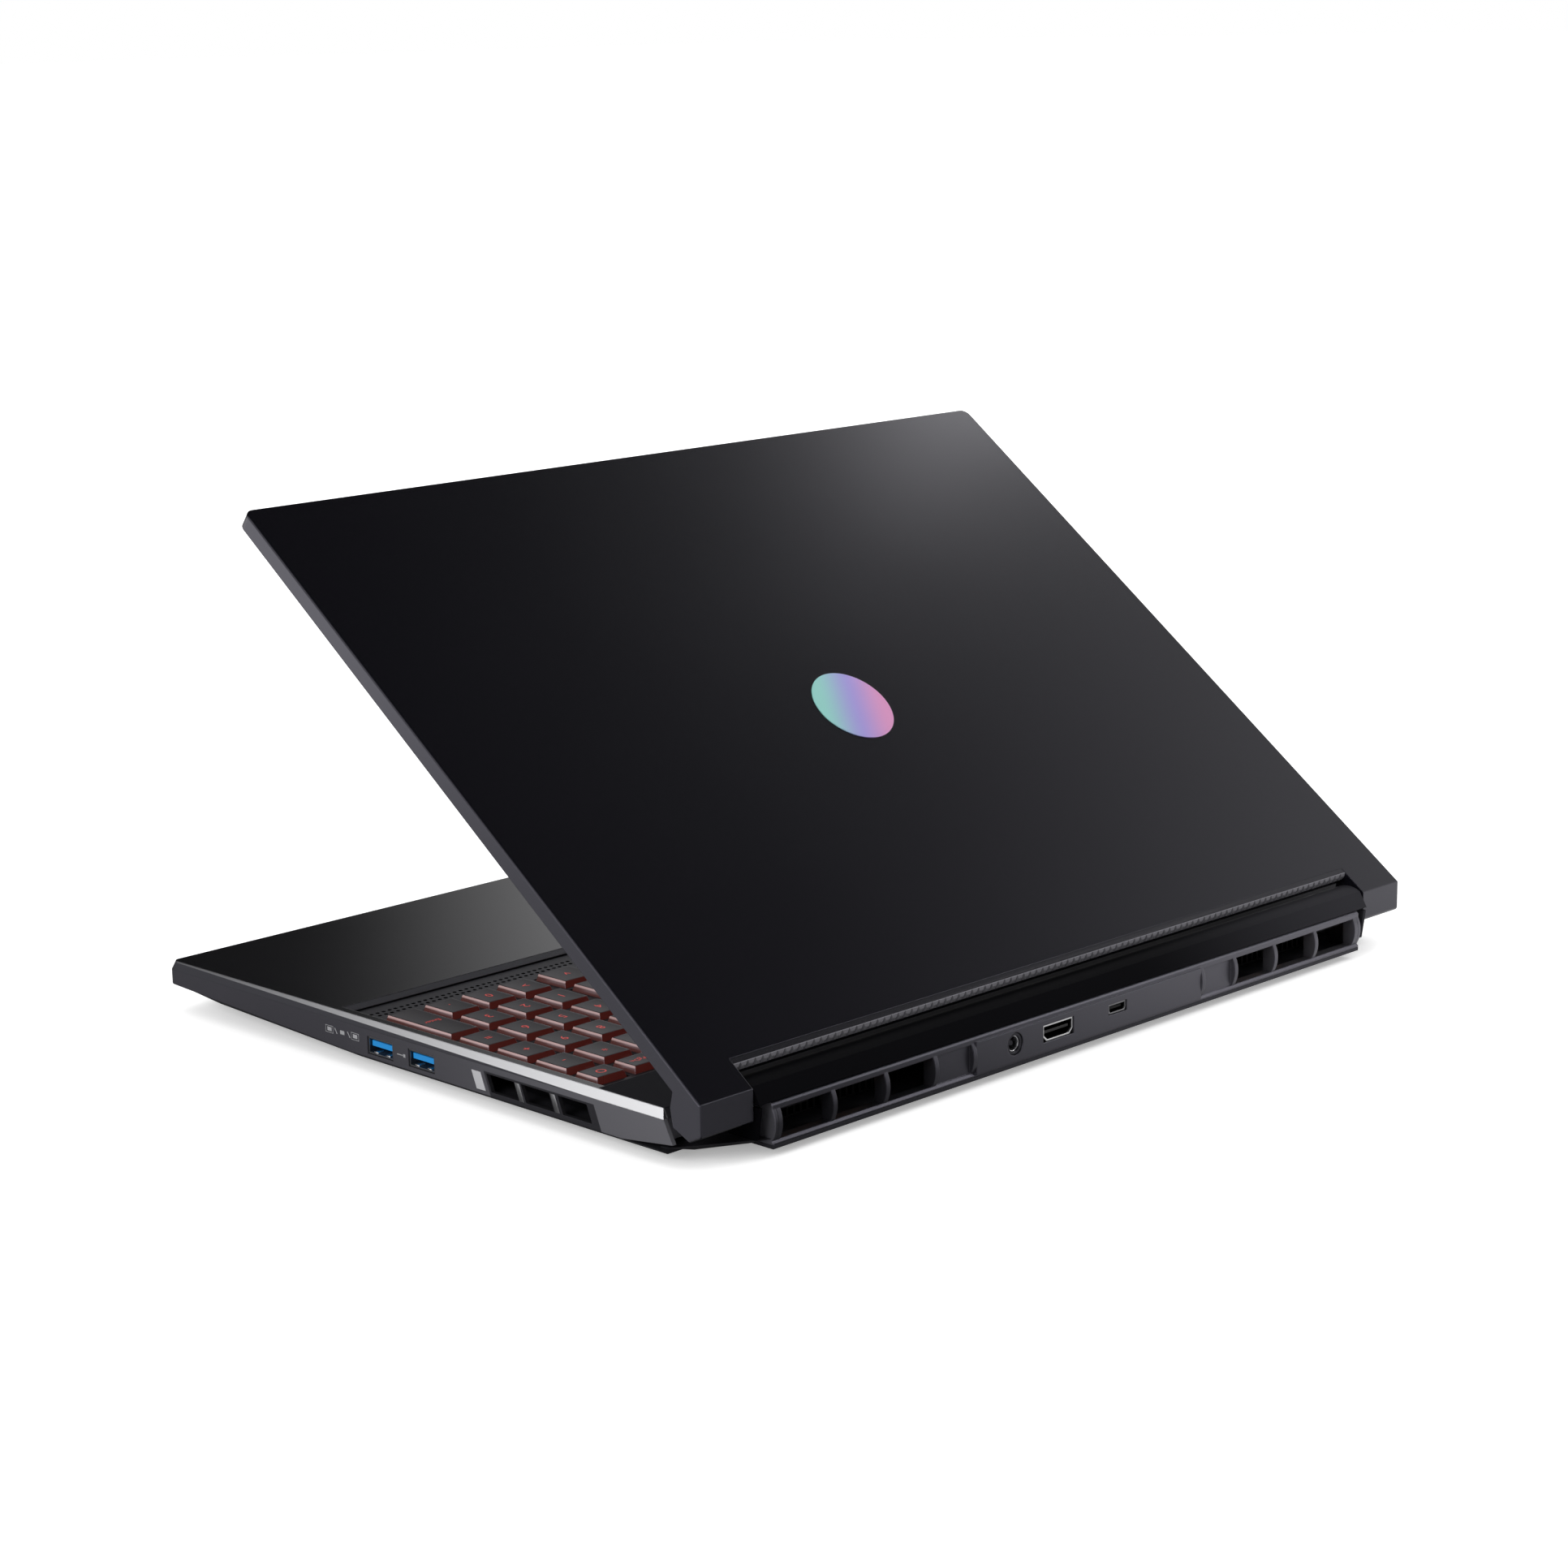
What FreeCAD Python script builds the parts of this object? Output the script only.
import FreeCAD, Part
import os
import re
import Sketcher

# A 16-inch gaming laptop with its lid part open, in millimetres.
# X points to the user's right, Y to the rear and Z up. The origin is on the table,
# under the middle of the base. Lid pieces are drawn closed and then turned on the hinge.

DIMENSIONS = {
    # Small allowances: past is how far a cutting tool runs beyond a face
    "past": 1, "sliver": 0.1, "hair": 0.01,
    # Base, overall
    "width": 360, "depth": 280, "deck_top": 18.5, "band_low": 15.4, "bevel_in": 1.6,
    "underside": 3.0, "skin": 1.2, "wall": 1.6, "deck_plate": 1.6, "rim": 4, "corner_round": 4,
    # Lower edge of the side walls, from the front to the rear
    "lip_front": 10.4, "lip_knee": 5.8, "lip_rear": 5.2, "lip_end": 8.0,
    "knee_y": -35, "rise_y": 101, "wall_end": 124, "trim_rear": 118.6,
    "chin_y": -124, "chin_thick": 1.2, "tray_floor_half": 166, "tray_lip_half": 178,
    "side_slope": 1.6, "return_y": 117.8, "corner_floor": 6.3,
    "shelf_in": 10, "shelf_deep": 3, "shelf_edge": 0.4,
    # Hinge line, and the cover over it
    "hinge_y": 130.5, "hinge_z": 15.1, "lid_open": 37, "shoulder_x": 157.3, "deck_rear": 120.2,
    "cover_half": 157, "cover_radius": 10.1, "cover_skin": 1.4, "cover_low": 16.2,
    "slope_top_y": 134.4, "slope_top_z": 26, "slope_low_y": 138.8, "slope_low_z": 18.3,
    "end_wall_front": 120.8, "end_wall_rear": 136.8, "end_wall_low": 6.5, "end_wall_in": 0.4, "pin_hole": 3.0,
    # Hinge pieces
    "pin_radius": 2.5, "pin_gap": 0.05, "barrel_radius": 3.6, "barrel_in": 130, "barrel_out": 148,
    "pin_in": 132, "knuckle_in": 160, "knuckle_out": 174, "knuckle_radius": 3.4,
    "leaf_front": 94, "leaf_thick": 1.4, "leaf_low": 21.0, "web_front": 124.6, "web_rear": 129.4,
    "arm_gap": 0.15, "leg_front": 96, "leg_low": 13.6, "leg_top": 15.0, "boss_radius": 3,
    "boss_front": 101, "boss_rear": 112,
    # Lid, as drawn closed
    "lid_front": -139.5, "lid_rear": 130.5, "lid_inner": 19.7, "lid_outer": 25.5, "lid_skin": 1.4,
    "lid_rim": 2, "lid_plate_rear": 117.8, "notch_half": 157.7, "notch_y": 120.8, "lid_edge": 0.7,
    "foot_back_y": 136.8, "foot_back_z": 17.0, "foot_heel_y": 133.8, "foot_heel_z": 11.5,
    "foot_toe_y": 126.0, "foot_toe_z": 9.8, "foot_shin_y": 122.6, "foot_shin_z": 13.0,
    "foot_top_y": 119.6, "foot_root": 112, "foot_round": 1.6,
    "trim_gap": 0.1, "trim_edge": 1.2, "ridge_count": 96, "ridge_deep": 0.8, "ridge_low": 22.5,
    "ridge_margin": 3,
    "bezel_thick": 1.0, "bezel_gap": 0.3, "screen_half": 171, "screen_front": -131, "screen_rear": 86,
    "panel_half": 173.5, "panel_front": -132.6, "panel_rear": 91, "panel_low": 20.9, "panel_top": 23.9,
    "camera_y": -134.6, "camera_radius": 1.4, "camera_half": 26, "camera_deep": 2.8, "camera_top": 23.4,
    "lens_room": 0.1,
    "antenna_in": 60, "antenna_out": 120, "antenna_top": 21.6,
    "bumper_in": 138, "bumper_out": 162, "bumper_y": -134.2, "bumper_rear_y": 104,
    "bumper_deep": 3, "bumper_thick": 0.9,
    "badge_y": -4.5, "badge_radius": 16, "badge_rise": 0.3,
    # Keyboard
    "key_pitch": 19.05, "key_gap": 2.8, "key_taper": 1.0, "key_low": 15.1, "key_top": 18.6,
    "keys_left": -173.7, "keys_right": 173.7, "pad_pitch": 16.2, "row_y": -17.6, "top_row_y": 75.7,
    "top_row_deep": 11.6, "key_room": 0.4,
    "well_half": 175.4, "well_front": -40.9, "well_rear": 88.5, "well_slope": 3.6,
    "frame_half": 175.2, "frame_front": -46, "frame_rear": 92, "frame_low": 15.4, "frame_top": 16.4,
    "plate_half": 174, "plate_low": 13.0, "plate_top": 13.4,
    # Touchpad
    "pad_x": -38, "pad_wide": 122, "pad_front": -134, "pad_rear": -52, "pad_low": 17.1, "pad_top": 18.4,
    "pad_room": 0.4, "pad_bracket_over": 5, "pad_bracket_low": 15.4, "pad_bracket_top": 16.4,
    "bracket_lap": 1,
    # Rear vent housing
    "block_half": 151.8, "block_front": 134.6, "block_low": 4.3, "block_top": 18.2, "seat": 0.6,
    "lip_face": 138.8, "lip_deep": 2.6, "lip_low": 15.4, "lip_chamfer": 1.2,
    "ledge_face": 139.0, "ledge_top": 5.6, "ledge_chamfer": 0.8,
    "bow_radius": 10, "bow_y": 130, "bow_z": 11, "rib_thick": 1.8, "end_plate_front": 127,
    "rib_a": 149.2, "rib_b": 125, "rib_c": 101, "rib_d": 78, "rib_e": 59.6,
    "io_half": 58.6, "io_face": 139.4, "io_thick": 2.0, "blank_face": 138.0, "blank_thick": 1.4,
    # Sockets at the rear
    "dc_x": 39.5, "dc_z": 11.1, "dc_radius": 3.7, "dc_bore": 2.8, "dc_pin": 0.9, "dc_deep": 13, "dc_end": 2,
    "hdmi_x": 17.6, "hdmi_z": 11.1, "hdmi_wide": 15.2, "hdmi_tall": 5.6, "hdmi_deep": 12, "hdmi_draw": 1.8,
    "usb_c_x": -13.2, "usb_c_z": 11.9, "usb_c_wide": 9.2, "usb_c_tall": 3.4, "usb_c_deep": 10,
    "usb_c_draw": 0.6,
    "shell_thick": 0.5, "socket_room": 0.2, "tongue_thick": 1.2,
    # Sockets at the sides
    "usb_a_wide": 13.2, "usb_a_tall": 5.8, "usb_a_deep": 14, "usb_a_z": 10.05, "usb_a_front_y": -18.6,
    "usb_a_rear_y": 3.1, "usb_a_left_y": 3.1, "usb_a_tongue": 11, "usb_tongue_thick": 1.9,
    "tongue_lift": 0.7, "tongue_inset": 0.8,
    "socket_inset": 0.4,
    "net_y": 102, "net_wide": 15.6, "net_low": 6.6, "net_top": 14.8, "net_deep": 13, "net_wall": 1.4,
    "audio_y": -20, "audio_z": 10.1, "audio_radius": 2.8, "audio_bore": 1.8, "audio_deep": 14, "audio_end": 1,
    "card_y": -42, "card_wide": 14, "card_z": 9.2, "card_tall": 3.0, "card_slot": 1.4, "card_deep": 15,
    "card_wall": 1,
    "light_wide": 2.4, "light_tall": 1.4, "light_z": 11.5, "light_front_y": -46, "light_step": 7,
    "light_deep": 2, "light_room": 0.05,
    # Side vents
    "vent_top": 12.8, "vent_low": 6.9, "vent_lean": 2.4, "vent_a": 36.2, "vent_b": 53.2, "vent_c": 71.0,
    "vent_long": 13.8, "accent_y": 29.2, "accent_long": 4.4, "accent_rise": 0.3,
    # Bottom
    "foot_long": 64, "foot_deep": 9, "foot_x": 112, "foot_front_y": -106, "foot_rear_long": 232,
    "foot_rear_y": 121, "screw_head": 2.4, "screw_low": 3.3,
    "screw_x": 162, "screw_front_y": -102, "screw_mid_y": 20, "screw_rear_y": 104, "screw_room": 0.1,
    "screw_nose_y": -116, "screw_heart_y": -55, "screw_tail_y": 120,
    "slot_count": 13, "slot_pitch": 4.6, "slot_wide": 2.4, "slot_long": 46,
    # Fans
    "fan_x": 129, "fan_y": 76, "fan_half": 35, "fan_low": 4.9, "fan_top": 12.0, "fan_plate": 0.7,
    "fan_wall": 1.2, "fan_eye": 22, "fan_boss": 12, "fan_arm": 3, "outlet_half": 31, "outlet_step": 10,
    "rotor_low": 6.3, "rotor_tall": 4.4, "hub_radius": 11, "hub_roof": 1,
    "root_u": 10.5, "root_v": 0, "knee_u": 19.5, "knee_v": 4, "tip_u": 25.5, "tip_v": 16.5,
    "blade_shift": 0.6, "blade_count": 29, "blade_inset": 0.2,
    "shaft_radius": 1.5, "shaft_tall": 3.0,
    # Boards and what sits on them
    "board_low": 5.9, "board_top": 7.1, "board_half": 90, "board_front": -52, "board_rear": 113,
    "board_tail_half": 57, "board_tail": 136, "side_board_in": 150, "side_board_out": 176,
    "side_board_front": -36, "side_board_rear": 20,
    "chip_y": 72, "chip_wide": 36, "chip_deep": 30, "chip_thick": 0.9, "die_wide": 20, "die_deep": 16,
    "die_top": 8.5, "chip_x": 34, "spreader_half": 62, "spreader_front": 52, "spreader_rear": 92,
    "spreader_top": 9.6, "pipe_top": 12.0, "pipe_wide": 7, "pipe_x": 53, "pipe_front": 56,
    "pipe_rear": 116, "pipe_out": 147, "pipe_turn": 93, "pipe_bend": 80,
    "fin_in": 80, "fin_front": 114.5, "fin_rear": 124.5, "fin_low": 5.2, "fin_top": 9.5,
    "fin_count": 22, "fin_slot": 2.2, "fin_plate": 0.6,
    "battery_half": 118, "battery_front": -122, "battery_rear": -60, "battery_low": 4.8,
    "battery_top": 11.8, "cell_groove": 1.0, "cell_groove_deep": 0.8, "cell_groove_end": 8, "cell_pitch": 59,
    "speaker_in": 128, "speaker_out": 162, "speaker_front": -122, "speaker_rear": -92,
    "speaker_top": 10.8, "speaker_round": 4,
    "memory_x": -78, "memory_wide": 68, "memory_deep": 30, "memory_front": -48, "memory_step": 34,
    "memory_top": 10.4, "drive_x": 4, "drive_long": 80, "drive_wide": 22, "drive_front": -46,
    "drive_step": 30, "drive_top": 9.6, "radio_x": -30, "radio_y": 22, "radio_wide": 22,
    "radio_long": 28, "radio_top": 9.2,
}

doc = FreeCAD.newDocument("laptop")
sheet = doc.addObject("Spreadsheet::Sheet", "Dims")
for row, (word, size) in enumerate(DIMENSIONS.items(), start=1):
    sheet.set(f"A{row}", word)
    sheet.set(f"B{row}", str(size))
    sheet.setAlias(f"B{row}", word)
doc.recompute()

nodes = []


# Helpers for sizes

def sized(formula):
    """A formula in the sheet's words, written as one that an object can be bound to."""
    return re.sub(r"[a-z][a-z_]+", lambda m: f"Dims.{m[0]}" if m[0] in DIMENSIONS else m[0], str(formula))


def number(formula):
    return float(sheet.evalExpression(sized(formula)))


def bind(thing, **formulas):
    for name, formula in formulas.items():
        thing.setExpression(name, sized(formula))


def place(thing, x="0", y="0", z="0"):
    for axis, formula in zip("xyz", (x, y, z)):
        thing.setExpression(f"Placement.Base.{axis}", sized(formula))
    return thing


# Helpers for solids

def box(name, x, y, z):
    """A block between (low, high) formulas on each axis."""
    block = doc.addObject("Part::Box", name)
    for size, (low, high) in zip(("Length", "Width", "Height"), (x, y, z)):
        block.setExpression(size, sized(f"({high}) - ({low})"))
    return place(block, x[0], y[0], z[0])


def rod(name, axis, radius, low, high, x="0", y="0", z="0"):
    """A cylinder along one axis, from low to high, centred on the other two."""
    cylinder = doc.addObject("Part::Cylinder", name)
    bind(cylinder, Radius=radius, Height=f"({high}) - ({low})")
    turns = {"x": (FreeCAD.Vector(0, 1, 0), 90), "y": (FreeCAD.Vector(1, 0, 0), -90),
             "z": (FreeCAD.Vector(0, 0, 1), 0)}
    cylinder.Placement = FreeCAD.Placement(FreeCAD.Vector(), FreeCAD.Rotation(*turns[axis]))
    ends = {"x": x, "y": y, "z": z}
    ends[axis] = low
    return place(cylinder, **ends)


def group(name, *things):
    compound = doc.addObject("Part::Compound", name)
    compound.Links = list(things)
    return compound


def fuse(name, *things):
    union = doc.addObject("Part::MultiFuse", name)
    union.Shapes = list(things)
    return union


def cut(name, base, tool):
    rest = doc.addObject("Part::Cut", name)
    rest.Base = base
    rest.Tool = tool
    return rest


def common(name, base, tool):
    shared = doc.addObject("Part::Common", name)
    shared.Base = base
    shared.Tool = tool
    return shared


def mirror(name, source):
    """The same piece on the other side of the middle plane."""
    other = doc.addObject("Part::Mirroring", name)
    other.Source = source
    other.Normal = FreeCAD.Vector(1, 0, 0)
    return other


def both_sides(name, source):
    return group(name, source, mirror(f"{name}Left", source))


# Helpers for sketched bodies

def origin_plane(body, role):
    return next(feature for feature in body.Origin.OriginFeatures if feature.Role == role)


def draw_loop(drawing, corners):
    """Straight edges from corner to corner, each corner held by two bound distances."""
    spots = [FreeCAD.Vector(number(u), number(v), 0) for u, v in corners]
    first = drawing.GeometryCount
    for start, end in zip(spots, spots[1:] + spots[:1]):
        drawing.addGeometry(Part.LineSegment(start, end), False)
    for k in range(len(spots)):
        following = first + (k + 1) % len(spots)
        drawing.addConstraint(Sketcher.Constraint("Coincident", first + k, 2, following, 1))
    for k, corner in enumerate(corners):
        for kind, formula in zip(("DistanceX", "DistanceY"), corner):
            hold(drawing, Sketcher.Constraint(kind, -1, 1, first + k, 1, number(formula)), formula)


def hold(drawing, constraint, formula):
    index = drawing.addConstraint(constraint)
    drawing.setExpression(f"Constraints[{index}]", sized(formula))


def draw_circle(drawing, u, v, radius):
    centre = FreeCAD.Vector(number(u), number(v), 0)
    circle = drawing.addGeometry(Part.Circle(centre, FreeCAD.Vector(0, 0, 1), number(radius)), False)
    hold(drawing, Sketcher.Constraint("Radius", circle, number(radius)), radius)
    hold(drawing, Sketcher.Constraint("DistanceX", -1, 1, circle, 3, number(u)), u)
    hold(drawing, Sketcher.Constraint("DistanceY", -1, 1, circle, 3, number(v)), v)


def sketch(body, name, role, loops, offset="0"):
    drawing = body.newObject("Sketcher::SketchObject", name)
    drawing.AttachmentSupport = [(origin_plane(body, role), "")]
    drawing.MapMode = "FlatFace"
    drawing.setExpression("AttachmentOffset.Base.z", sized(offset))
    for loop in loops:
        if len(loop) == 3 and isinstance(loop[0], str):
            draw_circle(drawing, *loop)
        else:
            draw_loop(drawing, loop)
    return drawing


def add_feature(body, kind, profile, **formulas):
    feature = body.newObject(f"PartDesign::{kind}", f"{profile.Name}{kind}")
    feature.Profile = profile
    bind(feature, **formulas)
    body.Tip = feature
    return feature


def pad(body, name, role, loops, low, high):
    """Adds material between two heights along the normal axis of a plane."""
    faces_back = role == "XZ_Plane"
    drawing = sketch(body, name, role, loops, f"-({low})" if faces_back else low)
    feature = add_feature(body, "Pad", drawing, Length=f"({high}) - ({low})")
    feature.Reversed = faces_back
    return feature


def pocket(body, name, loops, low, high):
    """Takes away what is between two heights, with the sketch seen from above."""
    drawing = sketch(body, name, "XY_Plane", loops, high)
    return add_feature(body, "Pocket", drawing, Length=f"({high}) - ({low})")


def prism(name, role, loops, low, high):
    body = doc.addObject("PartDesign::Body", name)
    pad(body, f"{name}Outline", role, loops, low, high)
    return body


def loft(name, role, sections):
    """A body through straight-sided outlines, given as (height, corners) pairs."""
    body = doc.addObject("PartDesign::Body", name)
    faces_back = role == "XZ_Plane"
    drawings = []
    for k, (height, corners) in enumerate(sections):
        offset = f"-({height})" if faces_back else height
        drawings.append(sketch(body, f"{name}Section{k}", role, [corners], offset))
    feature = add_feature(body, "AdditiveLoft", drawings[0])
    feature.Sections = drawings[1:]
    feature.Ruled = True
    return body


def ease_edges(body, kind, size, choose):
    """Fillets or chamfers those edges of a body that a rule picks by their place."""
    doc.recompute()
    names = [f"Edge{k}" for k, edge in enumerate(body.Shape.Edges, 1) if choose(edge)]
    base = body.Tip
    feature = body.newObject(f"PartDesign::{kind}", f"{body.Name}{kind}")
    feature.Base = (base, names)
    bind(feature, **{"Radius" if kind == "Fillet" else "Size": size})
    body.Tip = feature
    return feature


def rectangle(x_low, x_high, y_low, y_high):
    return [(x_low, y_low), (x_high, y_low), (x_high, y_high), (x_low, y_high)]


def upright(edge):
    low, high = edge.Vertexes[0].Point, edge.Vertexes[-1].Point
    return len(edge.Vertexes) == 2 and abs(low.z - high.z) > 0.7 * edge.Length


def node(label, thing):
    thing.Label = label
    nodes.append(thing)
    return thing


def lid_node(label, thing):
    """A node of the lid, turned about the hinge line from its closed place."""
    thing.Placement = FreeCAD.Placement(FreeCAD.Vector(), FreeCAD.Rotation(FreeCAD.Vector(-1, 0, 0), 1))
    thing.setExpression("Placement.Rotation.Angle", sized("lid_open"))
    back = "hinge_y - hinge_y * cos(lid_open) - hinge_z * sin(lid_open)"
    rise = "hinge_z + hinge_y * sin(lid_open) - hinge_z * cos(lid_open)"
    return node(label, place(thing, "0", back, rise))


# Top case: the deck with its bevelled band, keyboard opening and touchpad opening

def make_top_case():
    deck = prism("DeckBlank", "XY_Plane", [rectangle("-width / 2", "width / 2", "-depth / 2", "deck_rear")],
                 "band_low", "deck_top")
    front_line = number("-depth / 2 + corner_round")
    ease_edges(deck, "Fillet", "corner_round", lambda e: upright(e) and e.Vertexes[0].Y < front_line)
    high = number("deck_top - sliver")
    rear_line = number("deck_rear - sliver")
    bevel = ease_edges(deck, "Chamfer", "deck_top - band_low - hair", lambda e: all(
        v.Z > high for v in e.Vertexes) and any(v.Y < rear_line for v in e.Vertexes))
    bevel.ChamferType = "Two distances"
    bind(bevel, Size2="bevel_in")
    rear_end = prism("RearEnd", "YZ_Plane", [[("trim_rear", "deck_top"), ("deck_rear", "band_low"),
                                              ("deck_rear + past", "band_low"),
                                              ("deck_rear + past", "deck_top + past"),
                                              ("trim_rear", "deck_top + past")]], "shoulder_x",
                     "width / 2 + past")
    hollow = box("DeckHollow", ("-width / 2 + rim", "width / 2 - rim"),
                 ("-depth / 2 + rim", "return_y - rim / 4"), ("band_low - past", "deck_top - deck_plate"))
    well = box("KeyWell", ("-well_half", "well_half"), ("well_front", "well_rear"),
               ("band_low - past", "deck_top + past"))
    slope = prism("WellSlope", "YZ_Plane", [[
        ("well_front - well_slope", "deck_top"), ("well_front + past", "deck_top"),
        ("well_front + past", "frame_top"), ("well_front", "frame_top")]], "-well_half", "well_half")
    opening = box("PadOpening", ("pad_x - pad_wide / 2 - pad_room", "pad_x + pad_wide / 2 + pad_room"),
                  ("pad_front - pad_room", "pad_rear + pad_room"), ("band_low - past", "deck_top + past"))
    open_deck = cut("OpenDeck", deck, fuse("DeckOpenings", hollow, well, slope, opening, rear_end,
                                           mirror("RearEndLeft", rear_end)))
    middle = "(barrel_in + barrel_out) / 2"
    posts = [rod(f"HingeBoss{spot}", "z", "boss_radius", "leg_top", "deck_top - deck_plate / 2", x=middle,
                 y=spot) for spot in ("boss_front", "boss_rear")]
    node("top_case", fuse("TopCase", open_deck, *posts,
                          *[mirror(f"{post.Name}Left", post) for post in posts]))


# Side frame: the side and front walls, with cut-outs for sockets and vents

def lean_slot(name, start, long):
    """A vent seen from the side: a leaning opening through the right wall."""
    return prism(name, "YZ_Plane", [[
        (start, "vent_top"), (f"{start} + vent_lean", "vent_low"),
        (f"{start} + vent_lean + {long}", "vent_low"), (f"{start} + {long}", "vent_top")]],
        "width / 2 - 2 * wall", "width / 2 + wall")


def wall_slot(name, side, y, wide, z, tall):
    """A square opening through the right (1) or left (-1) wall."""
    through = ("width / 2 - 2 * wall", "width / 2 + wall")
    if side < 0:
        through = ("-width / 2 - wall", "-width / 2 + 2 * wall")
    return box(name, through, (f"{y} - ({wide}) / 2", f"{y} + ({wide}) / 2"),
               (f"{z} - ({tall}) / 2", f"{z} + ({tall}) / 2"))


def make_side_frame():
    inner = "width / 2 - wall"
    right = [("width / 2", "-depth / 2"), ("width / 2", "wall_end"), (inner, "wall_end"), (inner, "return_y"),
             ("shoulder_x", "return_y"), ("shoulder_x", "return_y - wall"), (inner, "return_y - wall"),
             (inner, "-depth / 2 + wall")]
    ring = prism("WallRing", "XY_Plane", [right + [(f"-({x})", y) for x, y in reversed(right)]],
                 "underside", "band_low")
    ease_edges(ring, "Fillet", "corner_round",
               lambda e: upright(e) and e.Vertexes[0].Y < number("-depth / 2 + sliver"))
    below = prism("BelowLip", "YZ_Plane", [[
        ("-depth / 2 - past", "underside - past"), ("wall_end + past", "underside - past"),
        ("wall_end + past", "band_low + past"), ("deck_rear", "band_low + past"), ("deck_rear", "band_low"),
        ("wall_end", "lip_end"), ("rise_y", "lip_rear"), ("knee_y", "lip_knee"),
        ("-depth / 2", "lip_front"), ("-depth / 2 - past", "lip_front")]],
        "-width / 2 - past", "width / 2 + past")
    vents = [lean_slot(f"Vent{start}", start, "vent_long") for start in ("vent_a", "vent_b", "vent_c")]
    usb_size = ("usb_a_wide + 2 * socket_room", "usb_a_z", "usb_a_tall + 2 * socket_room")
    net_tall = "net_top - net_low + 2 * socket_room"
    net_size = ("net_wide + 2 * socket_room", "(net_low + net_top) / 2", net_tall)
    card_size = ("card_wide + 2 * socket_room", "card_z", "card_tall + 2 * socket_room")
    openings = [
        *vents, *[mirror(f"{vent.Name}Left", vent) for vent in vents],
        wall_slot("UsbHoleFront", 1, "usb_a_front_y", *usb_size),
        wall_slot("UsbHoleRear", 1, "usb_a_rear_y", *usb_size),
        wall_slot("UsbHoleLeft", -1, "usb_a_left_y", *usb_size),
        wall_slot("NetHole", -1, "net_y", *net_size),
        wall_slot("CardHole", -1, "card_y", *card_size),
        rod("AudioHole", "x", "audio_radius + socket_room", "-width / 2 - wall", "-width / 2 + 2 * wall",
            y="audio_y", z="audio_z")]
    for k in range(LIGHT_COUNT):
        openings.append(wall_slot(f"LightHole{k}", 1, f"light_front_y + {k} * light_step",
                                  "light_wide + 2 * light_room", "light_z", "light_tall + 2 * light_room"))
    walls = cut("CutWalls", ring, below)
    node("side_frame", cut("SideFrame", walls, group("WallOpenings", *openings)))


def make_vent_accents():
    bar = prism("AccentBar", "YZ_Plane", [[
        ("accent_y", "vent_top"), ("accent_y + vent_lean", "vent_low"),
        ("accent_y + vent_lean + accent_long", "vent_low"), ("accent_y + accent_long", "vent_top")]],
        "width / 2", "width / 2 + accent_rise")
    node("vent_accents", both_sides("VentAccents", bar))


# Bottom cover: a tray that thins to the front, with intake slots and clipped rear corners

def tray_section(y, lip, floor, inset):
    high = f"width / 2 - {inset}"
    low = f"width / 2 - {inset} - ({lip} - ({floor})) * side_slope"
    return (y, [(f"-({high})", lip), (high, lip), (low, floor), (f"-({low})", floor)])


def make_bottom_cover():
    chin_lip = "lip_front + (lip_knee - lip_front) * (chin_y + depth / 2) / (knee_y + depth / 2)"
    outside = loft("TrayOutside", "XZ_Plane", [
        tray_section("-depth / 2", "lip_front", "lip_front - chin_thick", "corner_round / 2"),
        tray_section("chin_y", chin_lip, "underside", "0"),
        tray_section("knee_y", "lip_knee", "underside", "0"),
        tray_section("rise_y", "lip_rear", "underside", "0"),
        tray_section("return_y", "lip_rear", "underside", "0")])
    lift = "underside + skin"
    inside = prism("TrayInside", "XZ_Plane", [[
        ("-tray_floor_half", lift), ("tray_floor_half", lift),
        ("tray_lip_half", "lip_front"), ("-tray_lip_half", "lip_front")]], "chin_y + past", "return_y + past")
    tail = box("TrayTail", ("-block_half", "block_half"), ("return_y - past", "ledge_face"),
               ("underside", lift))
    low_corner = [
        ("block_half - past", "return_y"), ("width / 2 - shelf_in", "return_y"),
        ("width / 2 - 1.2 * shelf_in", "return_y + shelf_deep"),
        ("block_half - past", "ledge_face - 3 * shelf_deep")]
    high_corner = [
        ("block_half - past", "return_y"), ("width / 2 - shelf_edge", "return_y"),
        ("width / 2 - shelf_edge", "return_y + shelf_deep"), ("block_half - past", "ledge_face")]
    corner = loft("TrayCorner", "XY_Plane", [("underside", low_corner), ("corner_floor", high_corner)])
    clip = box("CornerClip", ("block_half", "width / 2"), ("return_y + sliver", "depth / 2"),
               ("underside", "corner_floor"))
    shelf = common("CornerShelf", corner, clip)
    tray = fuse("Tray", cut("HollowTray", outside, inside), tail)
    slots = [box(f"Intake{k}", ("fan_x - slot_long / 2", "fan_x + slot_long / 2"),
                 (f"fan_y + ({k} - (slot_count - 1) / 2) * slot_pitch - slot_wide / 2",
                  f"fan_y + ({k} - (slot_count - 1) / 2) * slot_pitch + slot_wide / 2"),
                 ("underside - past", f"{lift} + past")) for k in range(int(number("slot_count")))]
    holes = [rod(f"ScrewHole{k}", "z", "screw_head + screw_room", "underside - past", f"{lift} + past", x=x,
                 y=y) for k, (x, y) in enumerate(SCREW_PLACES)]
    drilled = cut("DrilledTray", tray, group("TrayOpenings", *slots,
                                             *[mirror(f"{s.Name}Left", s) for s in slots], *holes))
    node("bottom_cover", fuse("BottomCover", drilled, shelf, mirror("CornerShelfLeft", shelf)))


LIGHT_COUNT = 3
SCREW_PLACES = [(x, y) for y in ("screw_front_y", "screw_mid_y", "screw_rear_y") for x in ("-screw_x",
        "screw_x")]
SCREW_PLACES += [("0", y) for y in ("screw_nose_y", "screw_heart_y", "screw_tail_y")]


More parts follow.
